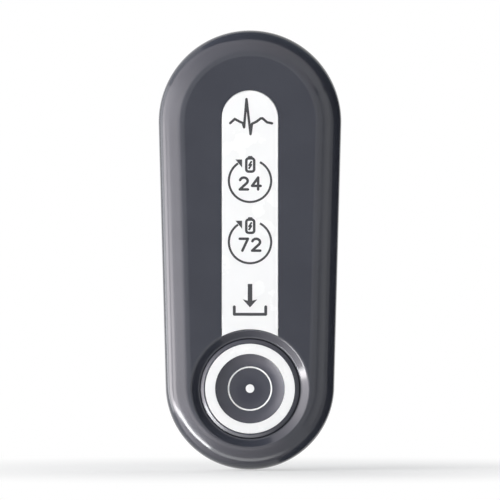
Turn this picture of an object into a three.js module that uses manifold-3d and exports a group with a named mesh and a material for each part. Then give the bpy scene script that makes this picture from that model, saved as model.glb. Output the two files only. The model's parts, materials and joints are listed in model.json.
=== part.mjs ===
import * as THREE from "three";
import Module from "manifold-3d";
import { mergeVertices } from "three/addons/utils/BufferGeometryUtils.js";

const wasm = await Module();
wasm.setup();

// A pocket recorder for long ECG recordings, in millimetres. The pieces are laid out with the
// recorder on its back: x runs across it, y along it towards the cable socket, and z from the
// flat back face to the front. The whole is then turned upright, so that it faces -Y.

// Housing
const topRadius = 20.8;
const endSpan = 60;
const housingDepth = 14.6;
const wall = 1.6;
const panelInset = 5.2;
const shoulderDrop = 5;
const shoulderNearInsetShare = 0.45;
const shoulderNearDropShare = 0.26;
const shoulderFarDropShare = 0.4;
const backInset = 2.6;
const backRise = 2.6;
const rebateMargin = 0.4;
const partingGap = 0.25;
const rimWidth = 0.75;
const lipHeight = 1.3;
const gasketHeight = 0.7;
const fitClearance = 0.1;
const cutOverrun = 1;

// Button, and the moat round it in the front cover
const buttonDrop = 0.7;
const moatWidth = 2.3;
const moatDepth = 1.4;
const moatRadiusShares = [0.115, 0.223, 0.321, 0.888, 0.964, 1];
const moatDepthShares = [0.021, 0.082, 0.182, 0.909, 0.977, 1];
const moatOverlap = 0.55;
const moatBossMargin = 1.05;
const capRadius = 11.3;
const capClearance = 0.25;
const capSink = 0.9;
const capEdge = 0.9;
const capEdgeDrop = 0.65;
const capEdgeShares = [[0, 0], [0.167, 0.062], [0.833, 0.6], [1, 1]];
const capPlate = 2.4;
const capSkirt = 1.5;
const dishDepth = 1.36;
const dishPower = 3;
const capRim = 1.05;
const ringWidth = 2.4;
const ringDepth = 0.9;
const markRadius = 5.1;
const markWidth = 0.45;
const dotRadius = 1.03;
const inlayDepth = 0.4;
const inlayClearance = 0.05;
const flangeReach = 0.45;
const flangeThickness = 0.8;
const postRadius = 1.9;
const postReach = 0.1;
const sealGroove = 0.6;
const sealWidth = 0.8;
const pressTravel = 0.5;

// Indicator window and the light frame behind it
const windowWidth = 12.8;
const windowTopInset = 13.8;
const windowOverlap = 0.35;
const windowFlange = 1.2;
const windowFlangeThickness = 0.8;
const iconPlaceShares = [0.858, 0.622, 0.365, 0.129];
const frameMargin = 0.9;
const frameButtonClearance = 0.5;
const lightWellWidth = 9.6;
const lightWellLength = 7.2;

// Circuit board and what is soldered to it
const boardThickness = 1;
const boardClearance = 0.7;
const ledLength = 3;
const ledWidth = 1.4;
const ledHeight = 0.7;
const switchSize = 6;
const switchHeight = 1.2;
const plungerRadius = 1.5;
const plungerReach = 0.9;
const plungerSeat = 0.3;
const pressGap = 0.1;
const processorSize = 7;
const processorHeight = 0.9;
const memoryWidth = 6;
const memoryLength = 8;
const memoryHeight = 1;
const amplifierSize = 6;
const amplifierHeight = 0.9;
const crystalWidth = 1.5;
const crystalLength = 3.2;
const crystalHeight = 0.8;
const buzzerRadius = 3.8;
const buzzerHeight = 2.4;
const buzzerHoleRadius = 0.8;
const processorPlaceShare = 0.06;
const amplifierPlaceShare = 0.21;
const crystalPlaceShare = -0.12;
const memoryPlaceShare = 0.14;
const buzzerPlaceShare = -0.14;

// Battery and its connector
const padThickness = 0.4;
const padMargin = 4;
const cellSideInset = 5.2;
const cellEndInset = 18;
const cellCorner = 2;
const cellRoom = 0.5;
const headerWidth = 7;
const headerLength = 4.6;
const headerHeight = 3.2;
const headerWall = 0.7;
const headerSocketGap = 5.1;
const plugReach = 2.2;
const leadRadius = 0.45;
const leadSpacing = 2.2;
const leadTabSpacing = 9;
const leadRun = 4.3;

// Cable socket
const mouthWidth = 15;
const mouthMargin = 0.2;
const mouthCorner = 0.9;
const shellWall = 0.6;
const shellRecess = 2.4;
const shellClearance = 0.2;
const socketDepth = 6;
const insulatorLength = 2.4;
const contactWidth = 1.1;
const contactHeightShare = 0.52;
const contactLength = 1.2;
const contactCount = 7;
const socketSealWidth = 0.8;
const socketSealLength = 1.5;
const socketSealPlace = 4.4;

// Housing screws and their inserts
const screwInset = 4.3;
const screwTopAngle = THREE.MathUtils.degToRad(35);
const screwBottomAngle = THREE.MathUtils.degToRad(50);
const screwRadius = 0.8;
const screwHeadRadius = 1.5;
const screwHeadHeight = 1.1;
const screwHeadSink = 1.1;
const screwSlotWidth = 0.45;
const screwSlotLength = 1.9;
const screwSlotDepth = 0.6;
const screwClearance = 0.15;
const pillarWall = 0.75;
const insertRadius = 1.25;
const insertLength = 3;
const insertClearance = 0.05;
const bossRadius = 2;
const bossRoot = 0.7;
const screwTipRoom = 0.5;

// Blank plate let into the back
const plateWidth = 24;
const plateLength = 25;
const plateThickness = 0.4;
const plateCorner = 2;
const plateEndInset = 19;

// How finely round shapes are divided
const arcSteps = 24;
const shoulderSteps = 6;
const backSteps = 3;
const roundSteps = 32;
const smallSteps = 16;
const cornerSteps = 4;
const dishSteps = 4;
const leadSteps = 8;

// Radii that follow from the sizes: at its lowest point the moat's lip runs over the panel's edge
const boreRadius = capRadius + capClearance;
const moatRadius = boreRadius + moatWidth;
const flangeRadius = boreRadius + flangeReach;
const ringOuterRadius = capRadius - capRim;
const ringInnerRadius = ringOuterRadius - ringWidth;
const bottomRadius = moatRadius + buttonDrop + panelInset - moatOverlap;

// Heights that follow, from the front panel back to the battery
const sideHeight = housingDepth - shoulderDrop;
const gasketTop = sideHeight - rebateMargin;
const lipTop = gasketTop - gasketHeight;
const partingHeight = lipTop - lipHeight;
const lipInset = rimWidth + fitClearance;
const panelBack = housingDepth - wall;
const windowBack = panelBack - windowFlangeThickness;
const capTop = housingDepth - capSink;
const moatBossBack = panelBack - moatDepth;
const flangeBack = moatBossBack - flangeThickness;
const postEnd = flangeBack - postReach;
const plungerTop = postEnd - pressGap;
const switchTop = plungerTop - plungerReach;
const boardFront = switchTop - switchHeight;
const boardBack = boardFront - boardThickness;
const cellTop = boardBack - cellRoom;
const padTop = wall + padThickness;

// Places that follow, along the housing
const housingLength = topRadius + endSpan + bottomRadius;
const topCentre = housingLength / 2 - topRadius;
const bottomCentre = topCentre - endSpan;
const taper = Math.asin((topRadius - bottomRadius) / endSpan);
const boardInset = wall + boardClearance;

const buttonPlace = bottomCentre - buttonDrop;
const moatBossRadius = moatRadius + moatBossMargin;

const windowTop = housingLength / 2 - windowTopInset;
const windowArcCentre = windowTop - windowWidth / 2;
const windowEndRadius = moatRadius - windowOverlap;
const windowEnd = buttonPlace + windowEndRadius;
const iconPlaces = iconPlaceShares.map((share) => windowEnd + share * (windowTop - windowEnd));

const socketAxis = (backRise + sideHeight) / 2;
const mouthHeight = sideHeight - backRise - 2 * (shellWall + shellClearance + mouthMargin);
const contactHeight = mouthHeight * contactHeightShare;
const shellWidth = mouthWidth + 2 * shellWall;
const shellFace = housingLength / 2 - shellRecess;
const contactFace = shellFace - socketDepth;
const shellEnd = contactFace - insulatorLength;
const socketSealStart = shellFace - socketSealPlace;
const socketSealMargin = shellWall + shellClearance + socketSealWidth;

const headerPlace = shellEnd - headerSocketGap - headerLength / 2;
const plugFront = headerPlace + headerLength / 2 - headerWall - fitClearance;
const plugBack = headerPlace - headerLength / 2 - plugReach;
const cellWidth = 2 * (bottomRadius - cellSideInset);
const cellEnd = plugBack - leadRun;
const cellStart = cellEndInset - housingLength / 2;
const cellLength = cellEnd - cellStart;
const cellPlace = (cellEnd + cellStart) / 2;

const platePlace = plateEndInset + (plateLength - housingLength) / 2;

const pillarRadius = screwHeadRadius + screwClearance + pillarWall;
const screwHeadSeat = screwHeadSink + screwHeadHeight;
const screwTip = boardFront + insertLength;
const insertHoleTop = screwTip + screwTipRoom;
const bossTop = insertHoleTop + bossRoot / 2;
const screwPlaces = [
  [topCentre, topRadius - screwInset, screwTopAngle],
  [topCentre, topRadius - screwInset, Math.PI - screwTopAngle],
  [bottomCentre, bottomRadius - screwInset, Math.PI + screwBottomAngle],
  [bottomCentre, bottomRadius - screwInset, -screwBottomAngle],
].map(([centre, radius, angle]) => [radius * Math.cos(angle), centre + radius * Math.sin(angle)]);

// Closed geometry: shared vertices merged, empty faces dropped and all faces turned outward
function closed(geometry) {
  const bare = geometry.clone();
  bare.deleteAttribute("normal");
  bare.deleteAttribute("uv");
  const merged = mergeVertices(bare);
  const place = merged.attributes.position;
  const corners = [new THREE.Vector3(), new THREE.Vector3(), new THREE.Vector3()];
  const faces = [];
  let volume = 0;
  for (let at = 0; at < merged.index.count; at += corners.length) {
    const face = corners.map((_, corner) => merged.index.getX(at + corner));
    if (new Set(face).size === corners.length) {
      face.forEach((vertex, corner) => corners[corner].fromBufferAttribute(place, vertex));
      volume += corners[0].dot(corners[1].cross(corners[2]));
      faces.push(face);
    }
  }
  merged.setIndex(faces.flatMap((face) => (volume < 0 ? [face[0], face[2], face[1]] : face)));
  merged.computeVertexNormals();
  return merged;
}

function toSolid(geometry) {
  const merged = closed(geometry);
  return new wasm.Manifold(
    new wasm.Mesh({
      numProp: 3,
      vertProperties: new Float32Array(merged.attributes.position.array),
      triVerts: new Uint32Array(merged.index.array),
    }),
  );
}

function toGeometry(solid) {
  const { numProp, vertProperties, triVerts } = solid.getMesh();
  const places = [];
  for (let at = 0; at < vertProperties.length; at += numProp) {
    places.push(vertProperties[at], vertProperties[at + 1], vertProperties[at + 2]);
  }
  const geometry = new THREE.BufferGeometry();
  geometry.setAttribute("position", new THREE.Float32BufferAttribute(places, 3));
  geometry.setIndex([...triVerts]);
  return geometry;
}

function join(geometry, others) {
  return toGeometry(others.reduce((sum, other) => sum.add(toSolid(other)), toSolid(geometry)));
}

function cut(geometry, tools) {
  return toGeometry(tools.reduce((rest, tool) => rest.subtract(toSolid(tool)), toSolid(geometry)));
}

// The housing's outline, drawn in by an inset: two end arcs joined by straight flanks
function outline(inset) {
  const points = [];
  const addArc = (centre, radius, from, to) => {
    for (let step = 0; step <= arcSteps; step += 1) {
      const angle = from + ((to - from) * step) / arcSteps;
      const reach = radius - inset;
      points.push(new THREE.Vector2(reach * Math.cos(angle), centre + reach * Math.sin(angle)));
    }
  };
  addArc(topCentre, topRadius, -taper, Math.PI + taper);
  addArc(bottomCentre, bottomRadius, Math.PI + taper, 2 * Math.PI - taper);
  return points;
}

// A skin through outlines, each given as [inset, height]. It ends in flat faces, or runs back
// to its first outline as a ring.
function loft(profile, isRing) {
  const rings = profile.map(([inset, height]) => outline(inset).map(({ x, y }) => [x, y, height]));
  const perRing = rings[0].length;
  const places = rings.flat();
  const faces = [];
  const spans = isRing ? rings.length : rings.length - 1;
  for (let span = 0; span < spans; span += 1) {
    const near = span * perRing;
    const far = ((span + 1) % rings.length) * perRing;
    for (let step = 0; step < perRing; step += 1) {
      const next = (step + 1) % perRing;
      faces.push(near + step, near + next, far + next, near + step, far + next, far + step);
    }
  }
  if (!isRing) {
    const last = places.length - perRing;
    const middle = (topCentre + bottomCentre) / 2;
    places.push([0, middle, profile[0][1]], [0, middle, profile[profile.length - 1][1]]);
    for (let step = 0; step < perRing; step += 1) {
      const next = (step + 1) % perRing;
      faces.push(places.length - 2, next, step, places.length - 1, last + step, last + next);
    }
  }
  const geometry = new THREE.BufferGeometry();
  geometry.setAttribute("position", new THREE.Float32BufferAttribute(places.flat(), 3));
  geometry.setIndex(faces);
  return geometry;
}

function prism(shape, from, to) {
  const settings = { depth: to - from, bevelEnabled: false, curveSegments: cornerSteps };
  return new THREE.ExtrudeGeometry(shape, settings).translate(0, 0, from);
}

function block(width, length, from, to, x = 0, y = 0) {
  return new THREE.BoxGeometry(width, length, to - from).translate(x, y, (from + to) / 2);
}

// A solid of revolution about a line along z through (x, y); the profile is [radius, height]
function turned(profile, x = 0, y = 0, steps = roundSteps) {
  const points = profile.map(([radius, height]) => new THREE.Vector2(radius, height));
  return new THREE.LatheGeometry(points, steps).rotateX(Math.PI / 2).translate(x, y, 0);
}

function rod(radius, from, to, x, y, steps = smallSteps) {
  return turned([[0, from], [radius, from], [radius, to], [0, to]], x, y, steps);
}

function tube(innerRadius, outerRadius, from, to, x, y, steps = smallSteps) {
  const profile = [[innerRadius, from], [outerRadius, from], [outerRadius, to], [innerRadius, to]];
  return turned([...profile, profile[0]], x, y, steps);
}

function roundedRectangle(width, height, corner) {
  const x = width / 2 - corner;
  const y = height / 2 - corner;
  const shape = new THREE.Shape();
  shape.absarc(x, y, corner, 0, Math.PI / 2, false);
  shape.absarc(-x, y, corner, Math.PI / 2, Math.PI, false);
  shape.absarc(-x, -y, corner, Math.PI, Math.PI * 1.5, false);
  shape.absarc(x, -y, corner, Math.PI * 1.5, Math.PI * 2, false);
  return shape;
}

// The section of the cable socket, extruded along y between two places
function socketPrism(widening, from, to) {
  const width = mouthWidth + 2 * widening;
  const height = mouthHeight + 2 * widening;
  const section = roundedRectangle(width, height, mouthCorner + widening);
  return prism(section, from, to).rotateX(-Math.PI / 2).translate(0, 0, socketAxis);
}

// The window's outline: round at the top, and at the bottom an arc about the button
function windowShape(margin, endRadius, steps = arcSteps) {
  const reach = windowWidth / 2 + margin;
  const side = Math.acos(reach / endRadius);
  const points = [];
  for (let step = 0; step <= steps; step += 1) {
    const angle = (Math.PI * step) / steps;
    points.push([reach * Math.cos(angle), windowArcCentre + reach * Math.sin(angle)]);
  }
  for (let step = 0; step <= steps / 2; step += 1) {
    const angle = Math.PI - side - ((Math.PI - 2 * side) * step * 2) / steps;
    points.push([endRadius * Math.cos(angle), buttonPlace + endRadius * Math.sin(angle)]);
  }
  return new THREE.Shape(points.map(([x, y]) => new THREE.Vector2(x, y)));
}

// The shoulder between the front panel and the side, as [inset, height]. The drop starts at
// once, which leaves a soft edge round the panel, and ends square to the side.
function shoulder(edgeInset, edgeHeight, sideInset, sideHeight) {
  const width = edgeInset - sideInset;
  const drop = edgeHeight - sideHeight;
  const curve = new THREE.CubicBezierCurve(
    new THREE.Vector2(edgeInset, edgeHeight),
    new THREE.Vector2(
      sideInset + width * shoulderNearInsetShare,
      edgeHeight - drop * shoulderNearDropShare,
    ),
    new THREE.Vector2(sideInset, edgeHeight - drop * shoulderFarDropShare),
    new THREE.Vector2(sideInset, sideHeight),
  );
  return curve.getPoints(shoulderSteps).map(({ x, y }) => [x, y]);
}

// The round edge between the side and the back face, as [inset, height]
function backEdge(inset, rise, sideInset, floor) {
  return Array.from({ length: backSteps + 1 }, (_, step) => {
    const angle = (Math.PI / 2) * (step / backSteps);
    return [sideInset + inset * (1 - Math.sin(angle)), floor + rise * (1 - Math.cos(angle))];
  });
}

// The surface of the dished button at a radius
function dish(radius) {
  return capTop - dishDepth * (1 - (radius / ringInnerRadius) ** dishPower);
}

function dishBetween(from, to) {
  return Array.from({ length: dishSteps + 1 }, (_, step) => {
    const radius = from + ((to - from) * step) / dishSteps;
    return [radius, dish(radius)];
  });
}

function socketMouthCutter() {
  return socketPrism(shellWall + shellClearance, shellEnd, housingLength / 2 + cutOverrun);
}

function moatFloor() {
  return moatRadiusShares.map((share, at) => [
    moatRadius - share * (moatRadius - boreRadius),
    housingDepth - moatDepthShares[at] * moatDepth,
  ]);
}

function frontCover() {
  const shell = loft([
    ...shoulder(panelInset, housingDepth, 0, sideHeight),
    [0, partingHeight + partingGap],
    [rimWidth, partingHeight + partingGap],
    [rimWidth, gasketTop],
    [wall, gasketTop],
    ...shoulder(panelInset, panelBack, wall, sideHeight).reverse(),
  ]);
  const moatBoss = rod(moatBossRadius, moatBossBack, panelBack + wall / 2, 0, buttonPlace, roundSteps);
  const bosses = screwPlaces.map(([x, y]) => rod(bossRadius, boardFront, bossTop, x, y));
  const insertHoles = screwPlaces.map(([x, y]) =>
    rod(insertRadius + insertClearance, boardFront - cutOverrun, insertHoleTop, x, y),
  );
  const buttonRecess = turned(
    [
      [0, housingDepth + cutOverrun],
      [moatRadius, housingDepth + cutOverrun],
      [moatRadius, housingDepth],
      ...moatFloor(),
      [boreRadius, moatBossBack - cutOverrun],
      [0, moatBossBack - cutOverrun],
    ],
    0,
    buttonPlace,
  );
  const windowSlot = prism(
    windowShape(fitClearance, windowEndRadius - fitClearance),
    panelBack,
    housingDepth + cutOverrun,
  );
  const deepSlot = prism(
    windowShape(fitClearance, moatBossRadius + fitClearance),
    windowBack,
    panelBack + cutOverrun,
  );
  return cut(join(shell, [moatBoss, ...bosses]), [
    ...insertHoles,
    buttonRecess,
    windowSlot,
    deepSlot,
    socketMouthCutter(),
  ]);
}

function rearCover() {
  const shell = loft([
    ...backEdge(backInset, backRise, 0, 0),
    [0, partingHeight],
    [lipInset, partingHeight],
    [lipInset, lipTop],
    [wall, lipTop],
    ...backEdge(backInset, backRise, wall, wall).reverse(),
  ]);
  const pillars = screwPlaces.map(([x, y]) => rod(pillarRadius, wall / 2, boardBack, x, y));
  const holes = screwPlaces.map(([x, y]) =>
    turned(
      [
        [0, -cutOverrun],
        [screwHeadRadius + screwClearance, -cutOverrun],
        [screwHeadRadius + screwClearance, screwHeadSeat],
        [screwRadius + screwClearance, screwHeadSeat],
        [screwRadius + screwClearance, boardBack + cutOverrun],
        [0, boardBack + cutOverrun],
      ],
      x,
      y,
      smallSteps,
    ),
  );
  const plateSize = [plateWidth + 2 * fitClearance, plateLength + 2 * fitClearance];
  const plateShape = roundedRectangle(...plateSize, plateCorner + fitClearance);
  const plateRecess = prism(plateShape, -cutOverrun, plateThickness).translate(0, platePlace, 0);
  return cut(join(shell, pillars), [...holes, plateRecess, socketMouthCutter()]);
}

function housingGasket() {
  const ring = loft(
    [[lipInset, lipTop], [wall, lipTop], [wall, gasketTop], [lipInset, gasketTop]],
    true,
  );
  return cut(ring, [socketMouthCutter()]);
}

function rearPlate() {
  const shape = roundedRectangle(plateWidth, plateLength, plateCorner);
  return prism(shape, 0, plateThickness).translate(0, platePlace, 0);
}

function indicatorWindow() {
  const pane = prism(windowShape(0, windowEndRadius), panelBack, housingDepth);
  const flange = prism(
    windowShape(windowFlange, moatBossRadius + 2 * fitClearance),
    windowBack,
    panelBack,
  );
  return join(pane, [flange]);
}

function iconLightFrame() {
  const shape = windowShape(frameMargin, moatBossRadius + frameButtonClearance);
  const wells = iconPlaces.map((y) =>
    block(lightWellWidth, lightWellLength, boardFront - cutOverrun, windowBack + cutOverrun, 0, y),
  );
  return cut(prism(shape, boardFront, windowBack), wells);
}

// The bevel of the button, from its face to its side
function capBevel() {
  return capEdgeShares.map(([across, down]) => [
    capRadius - capEdge * (1 - across),
    capTop - capEdgeDrop * down,
  ]);
}

function buttonCap() {
  const grooveBottom = capRadius - sealGroove;
  const grooveMiddle = (moatBossBack + housingDepth - moatDepth) / 2;
  const markInner = markRadius - markWidth;
  const skirtInner = capRadius - capSkirt;
  const plateBack = capTop - capPlate;
  return turned(
    [
      [0, dish(0) - inlayDepth],
      [dotRadius, dish(0) - inlayDepth],
      ...dishBetween(dotRadius, markInner),
      [markInner, dish(markInner) - inlayDepth],
      [markRadius, dish(markInner) - inlayDepth],
      ...dishBetween(markRadius, ringInnerRadius),
      [ringInnerRadius, capTop - ringDepth],
      [ringOuterRadius, capTop - ringDepth],
      [ringOuterRadius, capTop],
      ...capBevel(),
      [capRadius, grooveMiddle + sealWidth / 2],
      [grooveBottom, grooveMiddle + sealWidth / 2],
      [grooveBottom, grooveMiddle - sealWidth / 2],
      [capRadius, grooveMiddle - sealWidth / 2],
      [capRadius, moatBossBack],
      [flangeRadius, moatBossBack],
      [flangeRadius, flangeBack],
      [skirtInner, flangeBack],
      [skirtInner, plateBack],
      [postRadius, plateBack],
      [postRadius, postEnd],
      [0, postEnd],
    ],
    0,
    buttonPlace,
  );
}

function buttonRing() {
  const inner = ringInnerRadius + inlayClearance;
  const outer = ringOuterRadius - inlayClearance;
  return tube(inner, outer, capTop - ringDepth, capTop, 0, buttonPlace, roundSteps);
}

function buttonMark() {
  const markInner = markRadius - markWidth;
  const inner = markInner + inlayClearance;
  const outer = markRadius - inlayClearance;
  const floor = dish(markInner) - inlayDepth;
  const profile = [[inner, floor], [outer, floor], [outer, dish(outer)], [inner, dish(inner)]];
  return turned([...profile, profile[0]], 0, buttonPlace);
}

function buttonDot() {
  const from = dish(0) - inlayDepth;
  return rod(dotRadius - inlayClearance, from, dish(0), 0, buttonPlace);
}

function buttonSeal() {
  const inner = capRadius - sealGroove + inlayClearance;
  const outer = boreRadius - inlayClearance;
  const middle = (moatBossBack + housingDepth - moatDepth) / 2;
  const halfWidth = sealWidth / 2 - inlayClearance;
  const section = Array.from({ length: cornerSteps * 2 + 1 }, (_, step) => {
    const angle = (Math.PI * step) / cornerSteps;
    const reach = (outer - inner) / 2;
    return [(inner + outer) / 2 + reach * Math.cos(angle), middle + halfWidth * Math.sin(angle)];
  });
  return turned(section, 0, buttonPlace);
}

function switchBody() {
  const body = block(switchSize, switchSize, boardFront, switchTop, 0, buttonPlace);
  const floor = switchTop - plungerSeat - pressTravel - pressGap;
  const well = rod(plungerRadius + pressGap, floor, switchTop + cutOverrun, 0, buttonPlace);
  return cut(body, [well]);
}

function switchPlunger() {
  return rod(plungerRadius, switchTop - plungerSeat, plungerTop, 0, buttonPlace);
}

// A slot in the board's top end, open towards the socket's mouth
function boardNotch(width, bottom) {
  const top = housingLength / 2;
  const length = top - bottom;
  const from = boardBack - cutOverrun;
  return block(width, length, from, boardFront + cutOverrun, 0, (top + bottom) / 2);
}

function mainBoard() {
  const board = loft([[boardInset, boardBack], [boardInset, boardFront]]);
  const holes = screwPlaces.map(([x, y]) =>
    rod(screwRadius + screwClearance, boardBack - cutOverrun, boardFront + cutOverrun, x, y),
  );
  const shellNotch = boardNotch(shellWidth + 2 * shellClearance, shellEnd - shellClearance);
  const sealNotch = boardNotch(
    mouthWidth + 2 * (socketSealMargin + shellClearance),
    socketSealStart - shellClearance,
  );
  return cut(board, [...holes, shellNotch, sealNotch]);
}

// The middle of the strip of board beside the light frame, where the larger chips sit
function chipColumn() {
  const frameSide = windowWidth / 2 + frameMargin;
  const boardSide = (topRadius + bottomRadius) / 2 - boardInset;
  return (frameSide + boardSide) / 2;
}

function chip(width, length, height, side, placeShare) {
  const place = placeShare * housingLength;
  return block(width, length, boardFront, boardFront + height, side * chipColumn(), place);
}

function buzzer() {
  const x = chipColumn();
  const y = buzzerPlaceShare * housingLength;
  const top = boardFront + buzzerHeight;
  const can = rod(buzzerRadius, boardFront, top, x, y);
  const hole = rod(buzzerHoleRadius, top - buzzerHeight / 2, top + cutOverrun, x, y);
  return cut(can, [hole]);
}

function batteryPad() {
  const shape = roundedRectangle(cellWidth - 2 * padMargin, cellLength - 2 * padMargin, cellCorner);
  return prism(shape, wall, padTop).translate(0, cellPlace, 0);
}

function batteryCell() {
  const shape = roundedRectangle(cellWidth, cellLength, cellCorner);
  return prism(shape, padTop, cellTop).translate(0, cellPlace, 0);
}

function batteryHeader() {
  const bottom = boardBack - headerHeight;
  const body = block(headerWidth, headerLength, bottom, boardBack, 0, headerPlace);
  const cavity = block(
    headerWidth - 2 * headerWall,
    headerLength,
    bottom + headerWall,
    boardBack - headerWall,
    0,
    headerPlace - headerWall,
  );
  return cut(body, [cavity]);
}

function batteryPlug() {
  return block(
    headerWidth - 2 * (headerWall + fitClearance),
    plugFront - plugBack,
    boardBack - headerHeight + headerWall + fitClearance,
    boardBack - headerWall - fitClearance,
    0,
    (plugFront + plugBack) / 2,
  );
}

function batteryLead(side) {
  const height = boardBack - headerHeight / 2;
  const start = new THREE.Vector3((side * leadTabSpacing) / 2, cellEnd + inlayClearance, height);
  const end = new THREE.Vector3((side * leadSpacing) / 2, plugBack - inlayClearance, height);
  const run = (end.y - start.y) / 3;
  const path = new THREE.CubicBezierCurve3(
    start,
    start.clone().add(new THREE.Vector3(0, run, 0)),
    end.clone().sub(new THREE.Vector3(0, run, 0)),
    end,
  );
  const section = new THREE.Shape(
    Array.from({ length: leadSteps }, (_, step) => {
      const angle = (2 * Math.PI * step) / leadSteps;
      return new THREE.Vector2(leadRadius * Math.cos(angle), leadRadius * Math.sin(angle));
    }),
  );
  const settings = { steps: leadSteps, extrudePath: path, bevelEnabled: false };
  return new THREE.ExtrudeGeometry(section, settings);
}

function socketShell() {
  return cut(socketPrism(shellWall, shellEnd, shellFace), [
    socketPrism(0, shellEnd - cutOverrun, shellFace + cutOverrun),
  ]);
}

function contactBlock(at, clearance) {
  const pitch = mouthWidth / (contactCount + 1);
  return block(
    contactWidth + 2 * clearance,
    contactLength + clearance,
    socketAxis - contactHeight / 2 - clearance,
    socketAxis + contactHeight / 2 + clearance,
    pitch * (at + 1) - mouthWidth / 2,
    contactFace - (contactLength + clearance) / 2,
  );
}

function socketInsulator() {
  const pockets = Array.from({ length: contactCount }, (_, at) => contactBlock(at, inlayClearance));
  return cut(socketPrism(-inlayClearance, shellEnd, contactFace), pockets);
}

function socketSeal() {
  const end = socketSealStart + socketSealLength;
  const hole = socketPrism(
    shellWall + inlayClearance,
    socketSealStart - cutOverrun,
    end + cutOverrun,
  );
  return cut(socketPrism(socketSealMargin, socketSealStart, end), [hole]);
}

function housingScrew(x, y) {
  const screw = turned(
    [
      [0, screwHeadSink],
      [screwHeadRadius, screwHeadSink],
      [screwHeadRadius, screwHeadSeat],
      [screwRadius, screwHeadSeat],
      [screwRadius, screwTip],
      [0, screwTip],
    ],
    x,
    y,
    smallSteps,
  );
  const slotTop = screwHeadSink + screwSlotDepth;
  return cut(screw, [
    block(screwSlotWidth, screwSlotLength, -cutOverrun, slotTop, x, y),
    block(screwSlotLength, screwSlotWidth, -cutOverrun, slotTop, x, y),
  ]);
}

function threadedInsert(x, y) {
  const inner = screwRadius + insertClearance;
  return tube(inner, insertRadius, boardFront, boardFront + insertLength, x, y);
}

function finish(color, roughness, metalness) {
  return new THREE.MeshStandardMaterial({ color, roughness, metalness, flatShading: true });
}

const coverGrey = finish(0x4a4b54, 0.28, 0);
const buttonGrey = finish(0x55565e, 0.35, 0);
const indicatorWhite = finish(0xf4f4f4, 0.3, 0);
const sealRubber = finish(0x26262a, 0.8, 0);
const plateSilver = finish(0x8c8e92, 0.45, 0.6);
const boardGreen = finish(0x1f5a38, 0.5, 0);
const chipBlack = finish(0x1c1c1f, 0.5, 0);
const ledClear = finish(0xe8ead8, 0.2, 0);
const steel = finish(0xa9abb0, 0.35, 1);
const brass = finish(0xb58a3c, 0.35, 1);
const gold = finish(0xd3a94a, 0.3, 1);
const cellFoil = finish(0xb9bcc1, 0.4, 0.7);
const padFoam = finish(0x3a3a3c, 0.95, 0);
const connectorWhite = finish(0xe4e2da, 0.5, 0);
const leadRed = finish(0xa02824, 0.6, 0);
const leadBlack = finish(0x1d1d1e, 0.6, 0);

const recorder = new THREE.Group();
recorder.rotation.x = Math.PI / 2;

function add(name, geometry, material) {
  const piece = new THREE.Mesh(closed(geometry), material);
  piece.name = name;
  recorder.add(piece);
}

add("front_cover", frontCover(), coverGrey);
add("rear_cover", rearCover(), coverGrey);
add("housing_gasket", housingGasket(), sealRubber);
add("rear_plate", rearPlate(), plateSilver);
add("indicator_window", indicatorWindow(), indicatorWhite);
add("icon_light_frame", iconLightFrame(), chipBlack);

add("event_button", buttonCap(), buttonGrey);
add("button_ring", buttonRing(), indicatorWhite);
add("button_circle_mark", buttonMark(), indicatorWhite);
add("button_centre_dot", buttonDot(), indicatorWhite);
add("button_seal", buttonSeal(), sealRubber);
add("switch_body", switchBody(), chipBlack);
add("switch_plunger", switchPlunger(), connectorWhite);

add("main_board", mainBoard(), boardGreen);
const chips = [
  ["processor_chip", [processorSize, processorSize, processorHeight], -1, processorPlaceShare],
  ["amplifier_chip", [amplifierSize, amplifierSize, amplifierHeight], -1, amplifierPlaceShare],
  ["memory_chip", [memoryWidth, memoryLength, memoryHeight], 1, memoryPlaceShare],
  ["clock_crystal", [crystalLength, crystalWidth, crystalHeight], -1, crystalPlaceShare],
];
chips.forEach(([name, size, side, placeShare]) => {
  add(name, chip(...size, side, placeShare), name === "clock_crystal" ? steel : chipBlack);
});
add("alert_buzzer", buzzer(), chipBlack);
iconPlaces.forEach((y, at) => {
  const led = block(ledLength, ledWidth, boardFront, boardFront + ledHeight, 0, y);
  add(`status_led_${at + 1}`, led, ledClear);
});

add("battery_pad", batteryPad(), padFoam);
add("battery_cell", batteryCell(), cellFoil);
add("battery_header", batteryHeader(), connectorWhite);
add("battery_plug", batteryPlug(), connectorWhite);
add("battery_lead_red", batteryLead(-1), leadRed);
add("battery_lead_black", batteryLead(1), leadBlack);

add("socket_shell", socketShell(), chipBlack);
add("socket_insulator", socketInsulator(), chipBlack);
for (let at = 0; at < contactCount; at += 1) {
  add(`socket_contact_${at + 1}`, contactBlock(at, 0), gold);
}
add("socket_seal", socketSeal(), sealRubber);

screwPlaces.forEach(([x, y], at) => {
  add(`housing_screw_${at + 1}`, housingScrew(x, y), steel);
  add(`threaded_insert_${at + 1}`, threadedInsert(x, y), brass);
});

const holder = new THREE.Group();
holder.add(recorder);

export default holder;
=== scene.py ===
import json
import math

import bpy
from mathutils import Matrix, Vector
from mathutils.bvhtree import BVHTree
from mathutils.interpolate import poly_3d_calc


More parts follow.
